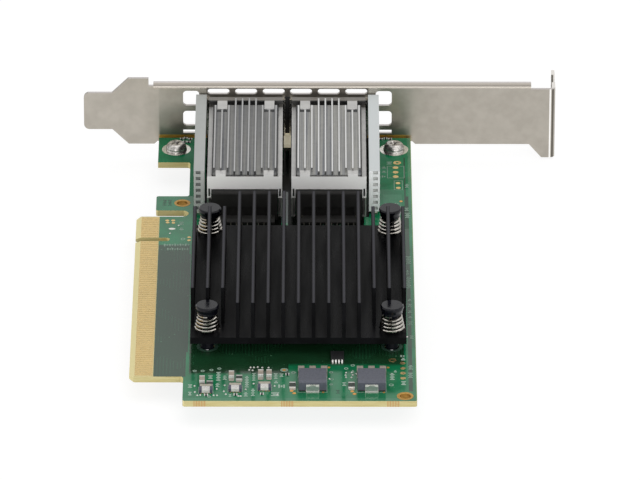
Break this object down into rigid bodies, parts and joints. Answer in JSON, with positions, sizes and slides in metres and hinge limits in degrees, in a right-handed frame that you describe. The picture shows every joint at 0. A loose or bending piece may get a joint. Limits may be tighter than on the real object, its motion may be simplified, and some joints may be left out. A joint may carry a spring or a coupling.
{
  "type": "network interface card",
  "caption": "Low-profile expansion card with a tall bracket, side-by-side optics cages under riding heat sinks and a black finned cooler held by sprung push pins.",
  "frame": {"origin": "PCI Express datum: contact edge line of the board, middle of the key notch, half of the board's thickness", "axes": "+X from the contact edge to the top edge of the board, +Y along the board towards the bracket, +Z out of the component side"},
  "size_m": [0.12, 0.1545, 0.0222],
  "materials": {
    "solder_mask": "satin solder mask over glass laminate",
    "gold_plate": "gold plated copper",
    "bracket_steel": "satin plated sheet",
    "screw_steel": "bright plated",
    "chip_package": "matte moulding",
    "thermal_gap_pad": "soft pad",
    "black_anodised": "black anodised extrusion",
    "black_nylon": "moulded nylon",
    "spring_steel": "bright wire",
    "cage_nickel": "nickel plated sheet",
    "connector_plastic": "moulded",
    "bare_aluminium": "plain extrusion",
    "clip_steel": "satin sheet",
    "light_pipe_plastic": "clear frosted moulding",
    "collar_steel": "nickel plated sheet",
    "lamp_plastic": "clear epoxy",
    "ferrite": "pressed powder",
    "tinned_copper": "tin plated",
    "ceramic_tan": "fired ceramic",
    "module_package": "coated moulding",
    "ceramic_brown": "fired ceramic"
  },
  "bodies": {
    "root": {"circuit_board": "solder_mask", "edge_contacts": "gold_plate", "bracket": "bracket_steel", "bracket_screw_left": "screw_steel", "bracket_screw_right": "screw_steel", "controller_chip": "chip_package", "thermal_pad": "thermal_gap_pad", "heat_sink": "black_anodised", "push_pin_near_left": "black_nylon", "push_pin_near_right": "black_nylon", "push_pin_far_left": "black_nylon", "push_pin_far_right": "black_nylon", "push_pin_spring_near_left": "spring_steel", "push_pin_spring_near_right": "spring_steel", "push_pin_spring_far_left": "spring_steel", "push_pin_spring_far_right": "spring_steel", "cage_left": "cage_nickel", "cage_right": "cage_nickel", "port_connector_left": "connector_plastic", "port_connector_right": "connector_plastic", "port_heat_sink_left": "bare_aluminium", "port_heat_sink_right": "bare_aluminium", "heat_sink_clip_left": "clip_steel", "heat_sink_clip_right": "clip_steel", "light_pipe_left": "light_pipe_plastic", "light_pipe_right": "light_pipe_plastic", "emi_collar_left": "collar_steel", "emi_collar_right": "collar_steel", "status_lamps": "lamp_plastic", "inductor_core_left": "ferrite", "inductor_core_right": "ferrite", "inductor_terminals": "tinned_copper", "bulk_capacitors": "ceramic_tan", "power_switch": "chip_package", "power_modules": "module_package", "chip_capacitors": "ceramic_brown", "decoupling_capacitors": "ceramic_brown", "output_capacitors": "ceramic_tan"}
  },
  "joints": []
}
